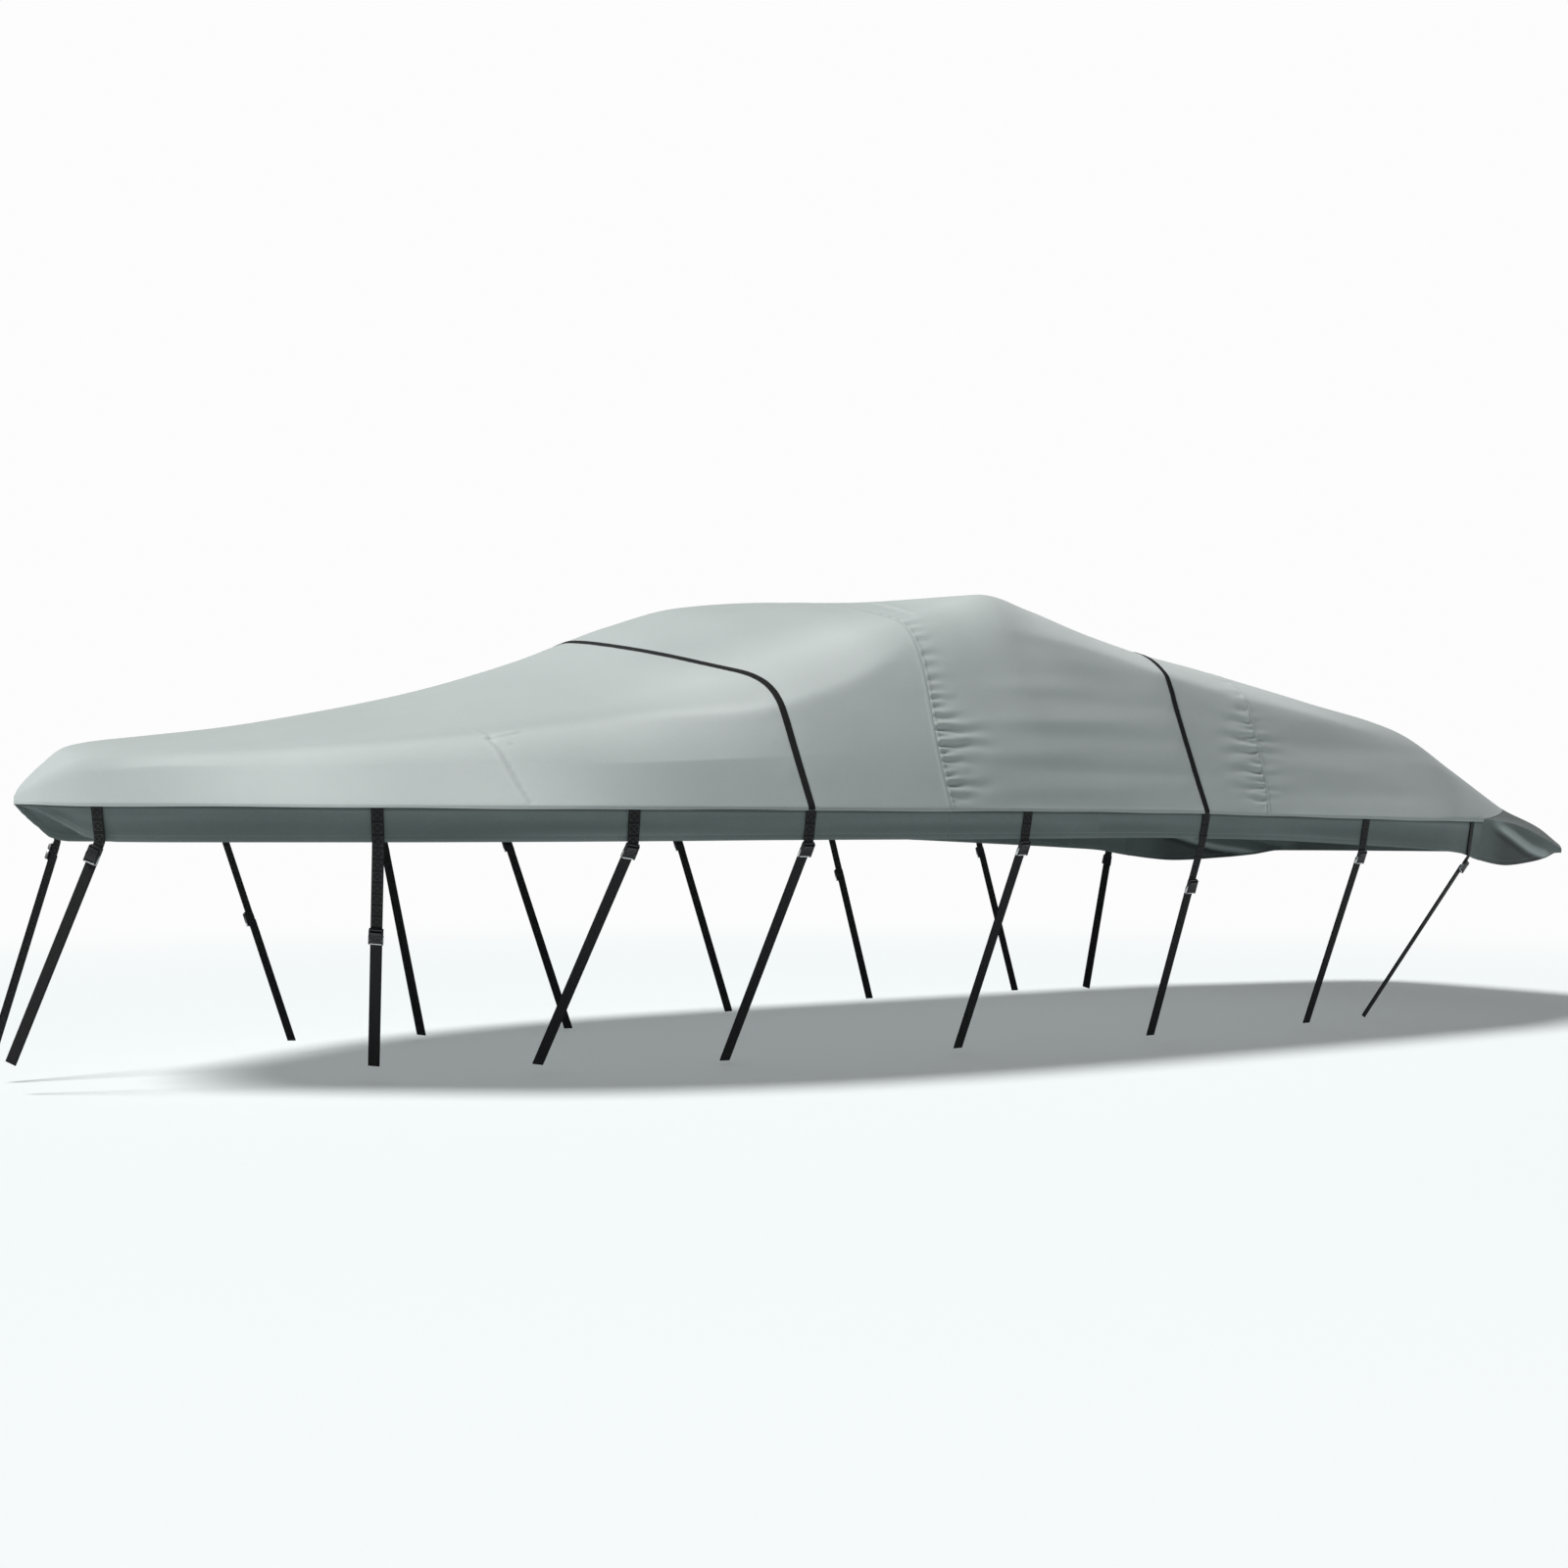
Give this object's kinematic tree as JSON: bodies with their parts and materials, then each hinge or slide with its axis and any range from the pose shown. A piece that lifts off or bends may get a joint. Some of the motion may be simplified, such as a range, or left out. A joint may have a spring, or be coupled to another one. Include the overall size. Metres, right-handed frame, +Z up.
{
  "type": "boat cover",
  "caption": "Fitted two-tone cloth cover for a runabout, draped over a raised middle, with a dark skirt, straps over the top and buckled tie-down straps.",
  "frame": {"origin": "the inner face of the cloth on the centre line, under the high middle, where something solid carries the cover", "axes": "+X towards the stern, +Y towards starboard, +Z up; port is -Y"},
  "size_m": [6.9615, 2.6052, 1.7593],
  "materials": {
    "light_cloth": "light grey coated polyester, plain weave, matte",
    "dark_cloth": "charcoal grey coated polyester, plain weave, matte",
    "webbing": "black woven polypropylene webbing",
    "buckle_nylon": "black moulded nylon with a bright metal bar"
  },
  "bodies": {
    "root": {"panel_bow": "light_cloth", "panel_middle": "light_cloth", "panel_stern": "light_cloth", "skirt_bow": "dark_cloth", "skirt_port_middle": "dark_cloth", "skirt_starboard_middle": "dark_cloth", "skirt_port_aft": "dark_cloth", "skirt_starboard_aft": "dark_cloth", "stern_cap": "dark_cloth", "over_strap_front": "webbing", "over_strap_rear": "webbing", "strap_port_bow_upper": "webbing", "strap_port_bow": "webbing", "buckle_port_bow": "buckle_nylon", "strap_starboard_bow_upper": "webbing", "strap_starboard_bow": "webbing", "buckle_starboard_bow": "buckle_nylon", "strap_port_1_upper": "webbing", "strap_port_1": "webbing", "buckle_port_1": "buckle_nylon", "strap_starboard_1_upper": "webbing", "strap_starboard_1": "webbing", "buckle_starboard_1": "buckle_nylon", "strap_port_2_upper": "webbing", "strap_port_2": "webbing", "buckle_port_2": "buckle_nylon", "strap_starboard_2_upper": "webbing", "strap_starboard_2": "webbing", "buckle_starboard_2": "buckle_nylon", "strap_port_3_upper": "webbing", "strap_port_3": "webbing", "buckle_port_3": "buckle_nylon", "strap_starboard_3_upper": "webbing", "strap_starboard_3": "webbing", "buckle_starboard_3": "buckle_nylon", "strap_port_4_upper": "webbing", "strap_port_4": "webbing", "buckle_port_4": "buckle_nylon", "strap_starboard_4_upper": "webbing", "strap_starboard_4": "webbing", "buckle_starboard_4": "buckle_nylon", "strap_port_5_upper": "webbing", "strap_port_5": "webbing", "buckle_port_5": "buckle_nylon", "strap_starboard_5_upper": "webbing", "strap_starboard_5": "webbing", "buckle_starboard_5": "buckle_nylon", "strap_port_6_upper": "webbing", "strap_port_6": "webbing", "buckle_port_6": "buckle_nylon", "strap_starboard_6_upper": "webbing", "strap_starboard_6": "webbing", "buckle_starboard_6": "buckle_nylon", "strap_port_stern_upper": "webbing", "strap_port_stern": "webbing", "buckle_port_stern": "buckle_nylon", "strap_starboard_stern_upper": "webbing", "strap_starboard_stern": "webbing", "buckle_starboard_stern": "buckle_nylon"}
  },
  "joints": []
}
